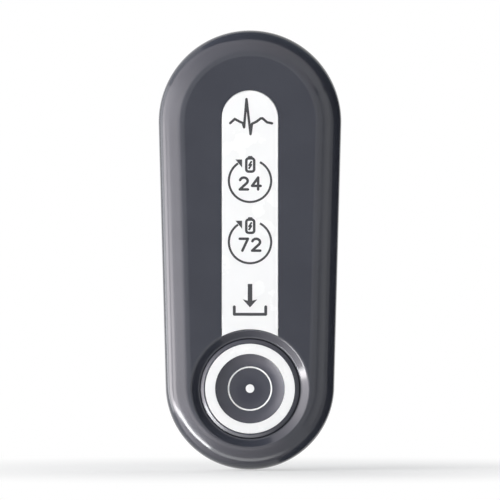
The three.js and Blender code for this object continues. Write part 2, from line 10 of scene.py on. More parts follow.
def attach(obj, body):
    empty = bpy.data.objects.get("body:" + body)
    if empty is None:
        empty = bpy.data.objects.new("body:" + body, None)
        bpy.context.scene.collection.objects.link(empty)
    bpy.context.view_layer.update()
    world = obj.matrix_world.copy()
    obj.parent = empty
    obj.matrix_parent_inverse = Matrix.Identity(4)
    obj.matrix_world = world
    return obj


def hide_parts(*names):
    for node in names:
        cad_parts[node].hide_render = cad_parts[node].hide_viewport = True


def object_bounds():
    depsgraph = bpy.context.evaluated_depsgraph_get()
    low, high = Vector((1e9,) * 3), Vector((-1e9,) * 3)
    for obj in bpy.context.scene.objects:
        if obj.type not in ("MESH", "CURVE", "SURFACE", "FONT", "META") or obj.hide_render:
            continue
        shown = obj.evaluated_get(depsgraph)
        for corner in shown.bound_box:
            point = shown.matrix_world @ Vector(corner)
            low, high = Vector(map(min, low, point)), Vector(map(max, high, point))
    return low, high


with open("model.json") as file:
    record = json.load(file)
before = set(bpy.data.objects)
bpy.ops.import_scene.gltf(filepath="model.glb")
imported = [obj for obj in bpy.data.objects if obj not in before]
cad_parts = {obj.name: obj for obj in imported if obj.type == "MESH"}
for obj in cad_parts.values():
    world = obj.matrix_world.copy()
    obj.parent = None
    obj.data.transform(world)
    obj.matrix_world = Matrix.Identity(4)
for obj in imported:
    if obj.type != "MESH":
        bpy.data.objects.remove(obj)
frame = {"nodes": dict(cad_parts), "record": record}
cad_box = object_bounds()
middle = (cad_box[0] + cad_box[1]) / 2

MM = 0.001

# Sizes are in millimetres, with the recorder lying on its back: x runs across it, y along it
# towards the cable socket, and z from the flat back face to the front.
TOP_RADIUS = 20.8
BOTTOM_RADIUS = 19.2
END_SPAN = 60
LENGTH = TOP_RADIUS + END_SPAN + BOTTOM_RADIUS
TOP_CENTRE = LENGTH / 2 - TOP_RADIUS
BOTTOM_CENTRE = TOP_CENTRE - END_SPAN
TAPER = math.asin((TOP_RADIUS - BOTTOM_RADIUS) / END_SPAN)
DEPTH = 14.6
WALL = 1.6
PANEL_INSET = 5.2
SIDE_HEIGHT = 9.6
CREASE = 0.9
BACK_EDGE = 2.6
FRONT_RIM = 7.45
REAR_RIM = 7.2
RIM_WIDTH = 0.75
LIP_INSET = 0.85
LIP_TOP = 8.5
GASKET_TOP = 9.2
RIM_ROUND = 0.2

# What pulls the shoulder's curve, from the panel's edge to the side, as shares of its width
# and its drop
SHOULDER_SHARES = ((1, 1), (0.45, 0.74), (0, 0.6), (0, 0))

# How far a cutter reaches past what it cuts
OVERRUN = 1

# Button, its moat and its bore
BUTTON_DROP = 0.7
BUTTON_PLACE = BOTTOM_CENTRE - BUTTON_DROP
MOAT_RADIUS = 13.85
MOAT_DEPTH = 1.4
MOAT_SLOPE = 38
MOAT_LIP = 1.2
MOAT_HOLLOW = 0.6
BORE_RADIUS = 11.45
BORE_ROUND = 0.1
BOSS_RADIUS = 14.9
BOSS_BACK = 11.6
CAP_RADIUS = 11.3
CAP_TOP = 13.7
CAP_EDGE = 0.9
CAP_SLOPE = 30
CAP_ROUND = 0.3
RING_INNER = 7.85
RING_OUTER = 10.25
RING_DEPTH = 0.9
MARK_OUTER = 5.1
MARK_WIDTH = 0.45
MARK_INNER = MARK_OUTER - MARK_WIDTH
DOT_RADIUS = 1.03
INLAY_DEPTH = 0.4
INLAY_GAP = 0.05
INLAY_ROUND = 0.06
DISH_DEPTH = 1.36
DISH_POWER = 3
SEAL_PLACE = 12.4
SEAL_GROOVE = 0.6
SEAL_WIDTH = 0.8
FLANGE_RADIUS = 12
FLANGE_BACK = 10.8
SKIRT_RADIUS = 9.8
CAP_PLATE = 2.4
POST_RADIUS = 1.9
POST_END = 10.7

# Indicator window
WINDOW_REACH = 6.4
WINDOW_CENTRE = 29.8
WINDOW_END = 13.5
WINDOW_FACE = 14.57
WINDOW_ROUND = 0.12
WINDOW_GAP = 0.1
WINDOW_BACK = 12.2
WINDOW_FLANGE = 1.2
FLANGE_END = 15.1
PANE_BACK = 13.0

# Icons printed on the window, each drawn round its own place on the line of symmetry
ICON_PLACES = (28.5, 15.7, 1.8, -11.0)
ICON_FACE = 0.02
ICON_STROKE = 0.5
BEAT = (
    (-4.5, 0.3), (-3.45, 1.25), (-2.3, 0.6), (-1.65, 0.35), (-1.35, -0.65), (-0.8, 5.75),
    (0.12, -2.2), (0.45, 0.15), (1.5, 0.65), (2.4, 1.35), (2.85, 1.4), (3.85, 0.5), (5.0, 0.25),
)
BEAT_STROKE = 0.56
CIRCLE_RADIUS = 4.8
CIRCLE_START = 62
CIRCLE_END = -236
CIRCLE_HEAD = ((-3.3, 4.85), (-1.8, 4.85), (-1.8, 3.0))
BATTERY_PLACE = (0.05, 3.6)
BATTERY_HALF = (0.9, 1.5)
BATTERY_NUB = 0.55
BATTERY_STROKE = 0.58
BOLT = ((0.25, 0.75), (-0.25, -0.05), (0.25, 0.05), (-0.25, -0.75))
BOLT_STROKE = 0.42
DIGIT_HEIGHT = 2.7
DIGIT_WIDTH = 1.85
DIGIT_GAP = 0.95
DIGIT_BASE = -1.95
DIGIT_STROKE = 0.58
ARROW_SHAFT = ((-0.52, 3.3), (-0.52, -0.55), (0.52, -0.55), (0.52, 3.3))
ARROW_HEAD = ((-1.65, -0.2), (-0.52, -0.5), (0.52, -0.5), (1.65, -0.2), (0, -2.05))
TRAY = ((-3.57, -1.9), (-3.57, -3.6), (3.57, -3.6), (3.57, -1.9))
TRAY_STROKE = 0.66

# Cable socket
SOCKET_AXIS = 6.1
MOUTH_WIDTH = 15
MOUTH_HEIGHT = 5
MOUTH_CORNER = 0.9
SHELL_WALL = 0.6
SHELL_FACE = 47.6
SHELL_BACK = 39.2
SHELL_ROUND = 0.18
NOTCH_GAP = 0.8
NOTCH_ROUND = 0.2
CONTACT_FACE = 41.6
CONTACT_WIDTH = 1.1
CONTACT_HEIGHT = 2.6
CONTACT_LENGTH = 1.2
CONTACT_COUNT = 7
CONTACT_ROUND = 0.16

# Screws, and the blank plate in the back
SCREW_PLACES = ((13.516, 38.664), (-13.516, 38.664), (-9.578, -42.214), (9.578, -42.214))
HOLE_RADIUS = 1.65
HOLE_FLOOR = 2.2
HOLE_ROUND = 0.25
SHAFT_HOLE = 0.95
PILLAR_RADIUS = 2.4
BOARD_BACK = 7.5
BOARD_FRONT = 8.5
INSERT_BOSS = 2.0
INSERT_HOLE = 1.3
HEAD_RADIUS = 1.5
HEAD_FACE = 1.1
HEAD_SEAT = 2.2
HEAD_ROUND = 0.35
CROSS_REACH = 0.95
CROSS_HALF = 0.225
CROSS_DEPTH = 0.6
CROSS_TAPER = 0.6
SCREW_RADIUS = 0.8
SCREW_TIP = 11.5
PLATE_HALF = (12, 12.5)
PLATE_PLACE = -18.5
PLATE_CORNER = 2
PLATE_THICKNESS = 0.4
PLATE_ROUND = 0.1
PLATE_GAP = 0.1

# Studio, with lengths in metres, angles in degrees and the camera's sensor in millimetres. A
# brightness of 1 is white, and the floor's shade is as a picture shows it, from 0 to 255.
VIEW_DISTANCE = 1.7
VIEW_HEIGHT = 0.114
SENSOR_WIDTH = 36
CLIP_START = 0.05
CLIP_END = 20
FLOOR_DROP = 0.0002
FLOOR_REACH = 6
FLOOR_SHADE = 240
SHADOW_REACH = (0.02, 0.12)
SHADOW_CLEARED = (0.5, 1)
WORLD_LIGHT = 0.56
CARD_TURN = 4
CARD_PARTS = 4
NEUTRAL = (1, 1, 1)
ROSY = (1, 0.95, 0.97)
BLUISH = (0.7, 0.85, 1)

# How finely round shapes are divided
END_STEPS = 90
LATHE_STEPS = 144
SMALL_STEPS = 40
CORNER_STEPS = 8
CURVE_STEPS = 22
EDGE_STEPS = 6
TINY_STEPS = 4
DISH_STEPS = 8

# Sizes of the finishes' patterns in metres, the span of their values that is used, and by what
# factors the roughness varies
MOTTLE = 0.012
METAL_MARKS = 0.0004
PATTERN_SPAN = (0.35, 0.65)
PLASTIC_SPREAD = (0.88, 1.14)
METAL_SPREAD = (0.8, 1.3)

# The cosine of the angle up to which faces that meet are shaded as one surface
SMOOTH = math.cos(math.radians(40))

# When a carved form takes its shading from its sources: a source has to be nearer by more than
# the first to be preferred, normals that differ by less than the second are one, and a corner
# is looked up this share of the way towards the middle of its face.
SAME_PLACE = 1e-5
SAME_WAY = 1e-6
INWARD = 0.02


class Solid:
    """A closed form: its points in millimetres, and its faces, turned outward."""

    def __init__(self, points, faces):
        self.points = [Vector(point) for point in points]
        volume = 0
        for face in faces:
            first = self.points[face[0]]
            for near, far in zip(face[1:], face[2:]):
                volume += first.dot(self.points[near].cross(self.points[far]))
        self.faces = [tuple(face) if volume > 0 else tuple(reversed(face)) for face in faces]

    def shading(self):
        """A normal for each corner of each face, smooth where the faces meet at a slight angle."""
        areas = []
        for face in self.faces:
            total = Vector()
            first = self.points[face[0]]
            for near, far in zip(face[1:], face[2:]):
                total += (self.points[near] - first).cross(self.points[far] - first)
            areas.append(total)
        units = [area.normalized() for area in areas]
        around = [[] for _ in self.points]
        for at, face in enumerate(self.faces):
            for corner in face:
                around[corner].append(at)
        normals = []
        for at, face in enumerate(self.faces):
            row = []
            for corner in face:
                total = Vector()
                for other in around[corner]:
                    if units[at].dot(units[other]) > SMOOTH:
                        total += areas[other]
                row.append(total.normalized())
            normals.append(row)
        return normals


def skin(rings, closed=False):
    """A form through rings of points that match one to one. A ring of one point is a tip."""
    points, starts = [], []
    for ring in rings:
        starts.append(len(points))
        points.extend(ring)
    faces = []
    spans = len(rings) if closed else len(rings) - 1
    for at in range(spans):
        after = (at + 1) % len(rings)
        near, far = starts[at], starts[after]
        count = max(len(rings[at]), len(rings[after]))
        for step in range(count):
            after_step = (step + 1) % count
            if len(rings[at]) == 1:
                faces.append((near, far + after_step, far + step))
            elif len(rings[after]) == 1:
                faces.append((near + step, near + after_step, far))
            else:
                faces.append((near + step, near + after_step, far + after_step, far + step))
    if not closed:
        for at, turn in ((0, -1), (-1, 1)):
            if len(rings[at]) > 1:
                cap = [starts[at] + step for step in range(len(rings[at]))]
                faces.append(tuple(cap[::turn]))
    return Solid(points, faces)


def arc(centre, radii, start, end, steps):
    """Points on an arc from one angle to another, in degrees; radii may differ along the axes."""
    points = []
    for step in range(steps + 1):
        angle = math.radians(start + (end - start) * step / steps)
        across, along = radii[0] * math.cos(angle), radii[1] * math.sin(angle)
        points.append((centre[0] + across, centre[1] + along))
    return points


def bezier(knots, steps):
    """Points on the curve that the knots pull."""
    points = []
    for step in range(steps + 1):
        level = [Vector(knot) for knot in knots]
        while len(level) > 1:
            level = [near.lerp(far, step / steps) for near, far in zip(level, level[1:])]
        points.append(tuple(level[0]))
    return points


def outline(inset):
    """The housing's outline, drawn in by an inset."""
    turn = math.degrees(TAPER)
    top = TOP_RADIUS - inset
    bottom = BOTTOM_RADIUS - inset
    return [
        *arc((0, TOP_CENTRE), (top, top), -turn, 180 + turn, END_STEPS),
        *arc((0, BOTTOM_CENTRE), (bottom, bottom), 180 + turn, 360 - turn, END_STEPS),
    ]


def loft(profile):
    """A form whose outline is drawn in by each inset of the profile at its height."""
    return skin([[(x, y, z) for x, y in outline(inset)] for inset, z in profile])


def circle(radius, x, y, steps):
    return arc((x, y), (radius, radius), 0, 360, steps)[:-1]


def turned(profile, x=0, y=0, steps=LATHE_STEPS, closed=False):
    """A solid of revolution about a line along z; the profile is made of (radius, height)."""
    rings = []
    for radius, z in profile:
        ring = [(x, y)] if radius == 0 else circle(radius, x, y, steps)
        rings.append([(px, py, z) for px, py in ring])
    return skin(rings, closed)


def rod(radius, start, end, x=0, y=0, steps=SMALL_STEPS):
    return turned([(0, start), (radius, start), (radius, end), (0, end)], x, y, steps)


def prism(points, start, end):
    return skin([[(x, y, start) for x, y in points], [(x, y, end) for x, y in points]])


def rounded_rectangle(half_width, half_height, corner):
    points = []
    for turn, (x, y) in enumerate(((1, 1), (-1, 1), (-1, -1), (1, -1))):
        centre = (x * (half_width - corner), y * (half_height - corner))
        points.extend(arc(centre, (corner, corner), 90 * turn, 90 * turn + 90, CORNER_STEPS))
    return points


def rounding(height, size):
    """Points of a rounded edge, as (inset, height), from the side to the face at that height."""
    return arc((size, height - size), (size, size), 180, 90, EDGE_STEPS)


def window_outline(margin, end_radius):
    """The window's outline, drawn out by a margin, with its bottom cut round the button."""
    reach = WINDOW_REACH + margin
    side = math.degrees(math.acos(reach / end_radius))
    top = arc((0, WINDOW_CENTRE), (reach, reach), 0, 180, END_STEPS)
    end = arc((0, BUTTON_PLACE), (end_radius, end_radius), 180 - side, side, END_STEPS // 2)
    return top + end


def socket_section(widening):
    """The section of the socket's mouth as (x, z), drawn out by a widening."""
    section = rounded_rectangle(
        MOUTH_WIDTH / 2 + widening, MOUTH_HEIGHT / 2 + widening, MOUTH_CORNER + widening
    )
    return [(x, SOCKET_AXIS + z) for x, z in section]


def rounded_levels(start, end, size):
    """(inset, level) along a block that is rounded at both ends."""
    turn = arc((0, 0), (1, 1), 0, 90, EDGE_STEPS)
    low = [(size * (1 - s), start + size * (1 - c)) for c, s in turn]
    high = [(size * (1 - s), end - size * (1 - c)) for c, s in reversed(turn)]
    return low + high


def upright(point):
    """From the lying recorder, in millimetres, to the upright one, in metres."""
    return (point[0] * MM, -point[2] * MM, point[1] * MM)


def scratch(solid):
    """A passing object for the boolean modifiers."""
    mesh = bpy.data.meshes.new("scratch")
    mesh.from_pydata(solid.points, [], solid.faces)
    thing = bpy.data.objects.new("scratch", mesh)
    bpy.context.scene.collection.objects.link(thing)
    return thing


def drop(thing):
    mesh = thing.data
    bpy.data.objects.remove(thing)
    bpy.data.meshes.remove(mesh)


def shaded_like(point, row, face, points):
    """The normal at a point of a face, from the normals at the face's corners."""
    if all((normal - row[0]).length < SAME_WAY for normal in row):
        return row[0]
    weights = poly_3d_calc([points[corner] for corner in face], point)
    total = Vector()
    for weight, normal in zip(weights, row):
        total += normal * weight
    return total.normalized()


def carved(base, added=(), removed=()):
    """The base with solids added and removed, as points, faces and the normals of the corners.
    Each face keeps the smooth shading of the solid that it came from."""
    body = scratch(base)
    tools = [("UNION", solid) for solid in added] + [("DIFFERENCE", solid) for solid in removed]
    helpers = []
    for operation, solid in tools:
        helper = scratch(solid)
        helpers.append(helper)
        modifier = body.modifiers.new("carve", "BOOLEAN")
        modifier.operation = operation
        modifier.solver = "MANIFOLD"
        modifier.object = helper
    graph = bpy.context.evaluated_depsgraph_get()
    mesh = bpy.data.meshes.new_from_object(body.evaluated_get(graph))
    sources = [base, *(solid for _, solid in tools)]
    trees = [BVHTree.FromPolygons(solid.points, solid.faces) for solid in sources]
    shadings = [solid.shading() for solid in sources]
    points = [vertex.co.copy() for vertex in mesh.vertices]
    faces, normals = [], []
    for polygon in mesh.polygons:
        face = tuple(polygon.vertices)
        centre = polygon.center.copy()
        best = None
        for at, tree in enumerate(trees):
            _, normal, _, distance = tree.find_nearest(centre)
            if best is None or distance < best[0] - SAME_PLACE:
                best = (distance, at, 1 if normal.dot(polygon.normal) > 0 else -1)
        _, at, sign = best
        row = []
        for corner in face:
            inward = points[corner].lerp(centre, INWARD)
            spot, _, index, _ = trees[at].find_nearest(inward)
            source_face, source_points = sources[at].faces[index], sources[at].points
            normal = sign * shaded_like(spot, shadings[at][index], source_face, source_points)
            row.append(normal if normal.dot(polygon.normal) > SMOOTH else polygon.normal.copy())
        faces.append(face)
        normals.append(row)
    for helper in [body, *helpers]:
        drop(helper)
    bpy.data.meshes.remove(mesh)
    return points, faces, normals


def plain(*solids):
    """Several solids as one set of points, faces and normals."""
    points, faces, normals = [], [], []
    for solid in solids:
        start = len(points)
        points.extend(solid.points)
        faces.extend(tuple(start + corner for corner in face) for face in solid.faces)
        normals.extend(solid.shading())
    return points, faces, normals


def piece(name, shape, finish, slot, body, *nodes):
    """A visible piece that rides on a body and stands for the CAD nodes that it replaces."""
    points, faces, normals = shape
    mesh = bpy.data.meshes.new(name)
    mesh.from_pydata([upright(point) for point in points], [], faces)
    mesh.shade_smooth()
    upright_normals = [(x, -z, y) for row in normals for x, y, z in row]
    mesh.normals_split_custom_set(upright_normals)
    mesh.materials.append(finish.material)
    thing = bpy.data.objects.new(name, mesh)
    bpy.context.scene.collection.objects.link(thing)
    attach(thing, body)
    if nodes:
        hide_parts(*nodes)


# Materials

def linear(red, green, blue):
    """A colour as the renderer wants it, from 0 to 255 as a picture shows it."""
    row = []
    for value in (red, green, blue):
        share = value / 255
        row.append(share / 12.92 if share <= 0.04045 else ((share + 0.055) / 1.055) ** 2.4)
    return (*row, 1)


class Finish:
    """A procedural material. Its patterns are laid out in metres on the object."""

    def __init__(self, name, color, roughness, metallic=0, ior=1.5):
        self.material = bpy.data.materials.new(name)
        self.material.use_nodes = True
        self.nodes = self.material.node_tree.nodes
        self.links = self.material.node_tree.links
        self.shader = self.nodes["Principled BSDF"]
        self.shader.inputs["Metallic"].default_value = metallic
        self.shader.inputs["IOR"].default_value = ior
        self.color = color
        self.shader.inputs["Base Color"].default_value = color
        self.shader.inputs["Roughness"].default_value = roughness
        self.place = self.nodes.new("ShaderNodeTexCoord").outputs["Object"]
        self.height = None

    def spread(self, scale=(1, 1, 1)):
        mapping = self.nodes.new("ShaderNodeMapping")
        mapping.inputs["Scale"].default_value = scale
        self.links.new(self.place, mapping.inputs["Vector"])
        return mapping.outputs["Vector"]

    def noise(self, size, detail=3, stretch=(1, 1, 1)):
        """A noise whose grains are about the given size in metres."""
        node = self.nodes.new("ShaderNodeTexNoise")
        node.inputs["Scale"].default_value = 1 / size
        node.inputs["Detail"].default_value = detail
        self.links.new(self.spread(stretch), node.inputs["Vector"])
        return node.outputs["Fac"]

    def cells(self, size, feature="F1"):
        """A pattern of cells, with their distance to the middle or to the edge."""
        node = self.nodes.new("ShaderNodeTexVoronoi")
        node.feature = feature
        node.inputs["Scale"].default_value = 1 / size
        self.links.new(self.spread(), node.inputs["Vector"])
        return node.outputs["Distance"]

    def tint(self, value, other, start=PATTERN_SPAN[0], end=PATTERN_SPAN[1]):
        """The colour runs to another one as a pattern's value goes from start to end."""
        ramp = self.nodes.new("ShaderNodeValToRGB")
        ramp.color_ramp.elements[0].position = start
        ramp.color_ramp.elements[1].position = end
        ramp.color_ramp.elements[0].color = self.color
        ramp.color_ramp.elements[1].color = other
        self.links.new(value, ramp.inputs["Fac"])
        self.links.new(ramp.outputs["Color"], self.shader.inputs["Base Color"])

    def gloss_patches(self, value, low, high):
        """The roughness runs from low to high as a pattern's value rises."""
        node = self.nodes.new("ShaderNodeMapRange")
        node.inputs["From Min"].default_value = PATTERN_SPAN[0]
        node.inputs["From Max"].default_value = PATTERN_SPAN[1]
        node.inputs["To Min"].default_value = low
        node.inputs["To Max"].default_value = high
        self.links.new(value, node.inputs["Value"])
        self.links.new(node.outputs["Result"], self.shader.inputs["Roughness"])

    def bump(self, value, depth):
        """A pattern's relief, in metres, on top of those added before."""
        node = self.nodes.new("ShaderNodeBump")
        node.inputs["Distance"].default_value = depth
        self.links.new(value, node.inputs["Height"])
        if self.height is not None:
            self.links.new(self.height, node.inputs["Normal"])
        self.height = node.outputs["Normal"]
        self.links.new(self.height, self.shader.inputs["Normal"])


def moulded(name, color, other, roughness, grain, depth, ior=1.5):
    """Moulded plastic: a faint mottle, patches of gloss, and the grain of the mould."""
    finish = Finish(name, color, roughness, ior=ior)
    finish.tint(finish.noise(MOTTLE), other)
    finish.gloss_patches(finish.noise(MOTTLE / 2, 5), *(roughness * f for f in PLASTIC_SPREAD))
    finish.bump(finish.noise(grain, 2), depth)
    return finish


def metal(name, color, other, roughness, stretch, depth):
    """Metal with fine marks drawn out along one direction."""
    finish = Finish(name, color, roughness, metallic=1)
    marks = finish.noise(METAL_MARKS, 4, stretch)
    finish.tint(marks, other)
    finish.gloss_patches(marks, *(roughness * f for f in METAL_SPREAD))
    finish.bump(marks, depth)
    return finish


gloss = moulded("cover_gloss", linear(59, 61, 70), linear(62, 64, 73), 0.13, 0.0016, 1e-6, 1.52)
satin = moulded("cover_satin", linear(60, 62, 69), linear(63, 65, 72), 0.42, 0.00028, 9e-6)
button_grey = moulded(
    "button_satin", linear(48, 50, 62), linear(51, 53, 65), 0.24, 0.0009, 1e-6, 1.62
)
white = moulded("indicator_opal", linear(247, 247, 248), linear(248, 248, 248), 0.25, 0.002, 8e-7)
ink = moulded("icon_ink", linear(66, 66, 69), linear(72, 72, 75), 0.55, 0.0002, 2e-6, 1.3)
black = moulded("socket_black", linear(27, 27, 30), linear(34, 34, 37), 0.4, 0.0003, 6e-6)
steel = metal("screw_steel", linear(172, 173, 177), linear(196, 197, 200), 0.3, (1, 1, 0.2), 1e-6)
brushed = metal(
    "plate_brushed", linear(158, 160, 164), linear(168, 170, 174), 0.36, (0.03, 1, 4), 4e-7
)
gold = metal("contact_gold", linear(224, 182, 96), linear(240, 204, 128), 0.24, (1, 1, 1), 8e-7)

materials = {
    "cover_plastic": gloss,
    "button_plastic": button_grey,
    "indicator_white": white,
    "socket_plastic": black,
    "screw_steel": steel,
    "plate_metal": brushed,
    "contact_gold": gold,
    "insert_brass": metal(
        "insert_brass", linear(181, 138, 60), linear(205, 164, 88), 0.34, (1, 0.3, 1), 6e-6
    ),
    "chip_epoxy": moulded(
        "chip_epoxy", linear(27, 27, 30), linear(38, 38, 42), 0.5, 0.00012, 5e-6
    ),
    "connector_plastic": moulded(
        "connector_nylon", linear(226, 223, 214), linear(234, 232, 225), 0.42, 0.0004, 4e-6
    ),
    "led_lens": moulded(
        "led_lens", linear(236, 232, 190), linear(246, 244, 226), 0.14, 0.0006, 2e-6
    ),
}

rubber = Finish("seal_rubber", linear(34, 34, 38), 0.75)
rubber.tint(rubber.noise(0.003), linear(44, 44, 48))
rubber.bump(rubber.noise(0.0002), 8e-6)
materials["seal_rubber"] = rubber

for slot, color in (("lead_red", (158, 38, 34)), ("lead_black", (28, 28, 30))):
    jacket = Finish(slot, linear(*color), 0.5)
    jacket.tint(jacket.noise(0.002), linear(*(value + 14 for value in color)))
    jacket.bump(jacket.noise(0.0003), 4e-6)
    materials[slot] = jacket

foam = Finish("pad_foam", linear(54, 54, 57), 0.95)
bubbles = foam.cells(0.0006)
foam.tint(bubbles, linear(78, 78, 82), 0.1, 0.6)
foam.bump(bubbles, 6e-5)
materials["pad_foam"] = foam

foil = Finish("cell_foil", linear(182, 185, 190), 0.34, metallic=0.85)
foil.tint(foil.noise(0.006), linear(206, 208, 212))
foil.bump(foil.noise(0.009, 1), 9e-5)
foil.bump(foil.noise(0.0007), 6e-6)
materials["cell_foil"] = foil

board = Finish("board_laminate", linear(24, 84, 50), 0.32)
tracks = board.cells(0.0032, "DISTANCE_TO_EDGE")
board.tint(tracks, linear(46, 122, 76), 0.12, 0.05)
board.gloss_patches(board.noise(0.004), 0.26, 0.4)
board.bump(tracks, 2e-5)
materials["board_laminate"] = board

# Every CAD node takes the finish of its slot, also where a piece replaces it.
for entry in frame["record"]["subparts"]:
    node = frame["nodes"][entry["node"]]
    node.data.materials.clear()
    node.data.materials.append(materials[entry["material_slot"]].material)


# Covers

def shoulder(inset, height, side_inset, side_height, steps):
    """The slope from the panel's edge down to the side wall, as (inset, height)."""
    width, drop_by = inset - side_inset, height - side_height
    knots = [(side_inset + width * w, side_height + drop_by * h) for w, h in SHOULDER_SHARES]
    return bezier(knots, steps)


def softened(curve, size):
    """The curve with a soft start, tangent to the flat face before its first point."""
    start = Vector(curve[0])
    at = next(i for i, point in enumerate(curve) if (Vector(point) - start).length > size)
    lead = bezier([start + Vector((size, 0)), start, curve[at]], EDGE_STEPS)
    return lead + curve[at + 1:]


def moat_cutter():
    """The moat with its round lip, its slope, the hollow at its foot and the button's bore."""
    floor = DEPTH - MOAT_DEPTH
    lip_size, hollow_size = (MOAT_LIP, MOAT_LIP), (MOAT_HOLLOW, MOAT_HOLLOW)
    lip = arc((MOAT_RADIUS, DEPTH - MOAT_LIP), lip_size, 90, 90 + MOAT_SLOPE, CORNER_STEPS)
    hollow = arc((0, 0), hollow_size, MOAT_SLOPE - 90, -90, CORNER_STEPS)
    fall = lip[-1][1] - floor - hollow[0][1] + hollow[-1][1]
    start = (lip[-1][0] - fall / math.tan(math.radians(MOAT_SLOPE)), lip[-1][1] - fall)
    shift = (start[0] - hollow[0][0], start[1] - hollow[0][1])
    bore_edge = (BORE_RADIUS + BORE_ROUND, floor - BORE_ROUND)
    bore = arc(bore_edge, (BORE_ROUND, BORE_ROUND), 90, 180, TINY_STEPS)
    return turned(
        [
            (0, DEPTH + OVERRUN),
            (MOAT_RADIUS, DEPTH + OVERRUN),
            *lip,
            *[(radius + shift[0], z + shift[1]) for radius, z in hollow],
            *bore,
            (BORE_RADIUS, BOSS_BACK - OVERRUN),
            (0, BOSS_BACK - OVERRUN),
        ],
        0,
        BUTTON_PLACE,
    )


def arc_flare(size):
    """(outward, depth) along a round edge, from the wall of a hole to the face round it."""
    turn = arc((0, 0), (1, 1), 0, 90, TINY_STEPS)[1:]
    return [(size * (1 - c), size * (1 - s)) for c, s in turn]


def notch_cutter():
    """The socket's opening in both covers, with a round edge that follows the housing's end."""
    section = socket_section(NOTCH_GAP)
    rings = [[(x, SHELL_BACK, z) for x, z in section]]
    for out, down in [(0, NOTCH_ROUND), *arc_flare(NOTCH_ROUND), (NOTCH_ROUND, -2 * OVERRUN)]:
        ring = []
        for x, z in socket_section(NOTCH_GAP + out):
            ring.append((x, TOP_CENTRE + math.sqrt(TOP_RADIUS ** 2 - x ** 2) - down, z))
        rings.append(ring)
    return skin(rings)


pane_opening = window_outline(WINDOW_GAP, WINDOW_END - WINDOW_GAP)
flange_opening = window_outline(WINDOW_FLANGE + WINDOW_GAP, FLANGE_END - WINDOW_GAP)

front = loft([
    *softened(shoulder(PANEL_INSET, DEPTH, 0, SIDE_HEIGHT, CURVE_STEPS), CREASE),
    *[(inset, 2 * FRONT_RIM - z) for inset, z in rounding(FRONT_RIM, RIM_ROUND)],
    (RIM_WIDTH, FRONT_RIM),
    (RIM_WIDTH, GASKET_TOP),
    (WALL, GASKET_TOP),
    *reversed(shoulder(PANEL_INSET, DEPTH - WALL, WALL, SIDE_HEIGHT, EDGE_STEPS)),
])
piece(
    "front_cover_skin",
    carved(
        front,
        [
            rod(BOSS_RADIUS, BOSS_BACK, DEPTH - WALL / 2, 0, BUTTON_PLACE, LATHE_STEPS),
            *(rod(INSERT_BOSS, BOARD_FRONT, SCREW_TIP + OVERRUN, x, y) for x, y in SCREW_PLACES),
        ],
        [
            *(rod(INSERT_HOLE, BOARD_BACK, SCREW_TIP + OVERRUN / 2, x, y) for x, y in SCREW_PLACES),
            moat_cutter(),
            prism(pane_opening, PANE_BACK, DEPTH + OVERRUN),
            prism(flange_opening, WINDOW_BACK, PANE_BACK + OVERRUN / 4),
            notch_cutter(),
        ],
    ),
    gloss, "cover_plastic", "housing", "front_cover",
)

back_turn = arc((BACK_EDGE, BACK_EDGE), (BACK_EDGE, BACK_EDGE), 270, 180, CURVE_STEPS)
inner_edge = (WALL + BACK_EDGE, WALL + BACK_EDGE)
inner_turn = arc(inner_edge, (BACK_EDGE, BACK_EDGE), 180, 270, EDGE_STEPS)
rear = loft([
    *back_turn,
    *rounding(REAR_RIM, RIM_ROUND),
    (LIP_INSET, REAR_RIM),
    (LIP_INSET, LIP_TOP),
    (WALL, LIP_TOP),
    *inner_turn,
])


def hole_cutter(x, y):
    """A screw's hole from the back, with a round mouth, a seat for the head and a narrow shaft."""
    mouth = [(HOLE_RADIUS + out, depth) for out, depth in reversed(arc_flare(HOLE_ROUND))]
    return turned(
        [
            (0, -OVERRUN),
            (HOLE_RADIUS + HOLE_ROUND, -OVERRUN),
            *mouth,
            (HOLE_RADIUS, HOLE_ROUND),
            (HOLE_RADIUS, HOLE_FLOOR),
            (SHAFT_HOLE, HOLE_FLOOR),
            (SHAFT_HOLE, BOARD_BACK + OVERRUN),
            (0, BOARD_BACK + OVERRUN),
        ],
        x,
        y,
        SMALL_STEPS,
    )


def plate_outline(widening):
    half = [side + widening for side in PLATE_HALF]
    corner = PLATE_CORNER + widening
    return [(x, PLATE_PLACE + y) for x, y in rounded_rectangle(*half, corner)]


piece(
    "rear_cover_skin",
    carved(
        rear,
        [rod(PILLAR_RADIUS, WALL / 2, BOARD_BACK, x, y) for x, y in SCREW_PLACES],
        [
            *(hole_cutter(x, y) for x, y in SCREW_PLACES),
            prism(plate_outline(PLATE_GAP), -OVERRUN, PLATE_THICKNESS),
            notch_cutter(),
        ],
    ),
    satin, "cover_plastic", "housing", "rear_cover",
)

plate = skin([
    [(x, y, level) for x, y in plate_outline(-inset)]
    for inset, level in rounded_levels(0, PLATE_THICKNESS, PLATE_ROUND)
])
piece("rear_plate_skin", plain(plate), brushed, "plate_metal", "housing", "rear_plate")


# Indicator window, and the icons printed on it

pane = skin([
    [(x, y, level) for x, y in window_outline(-inset, WINDOW_END + inset)]
    for inset, level in [(0, PANE_BACK), *rounding(WINDOW_FACE, WINDOW_ROUND)]
])
flange = prism(window_outline(WINDOW_FLANGE, FLANGE_END), WINDOW_BACK, PANE_BACK)
piece(
    "indicator_window_skin",
    carved(pane, [flange]),
    white, "indicator_white", "housing", "indicator_window",
)


def printed(points):
    """A thin flat form that stands a hair proud of the window."""
    return prism(points, WINDOW_FACE - ICON_FACE, WINDOW_FACE + ICON_FACE)


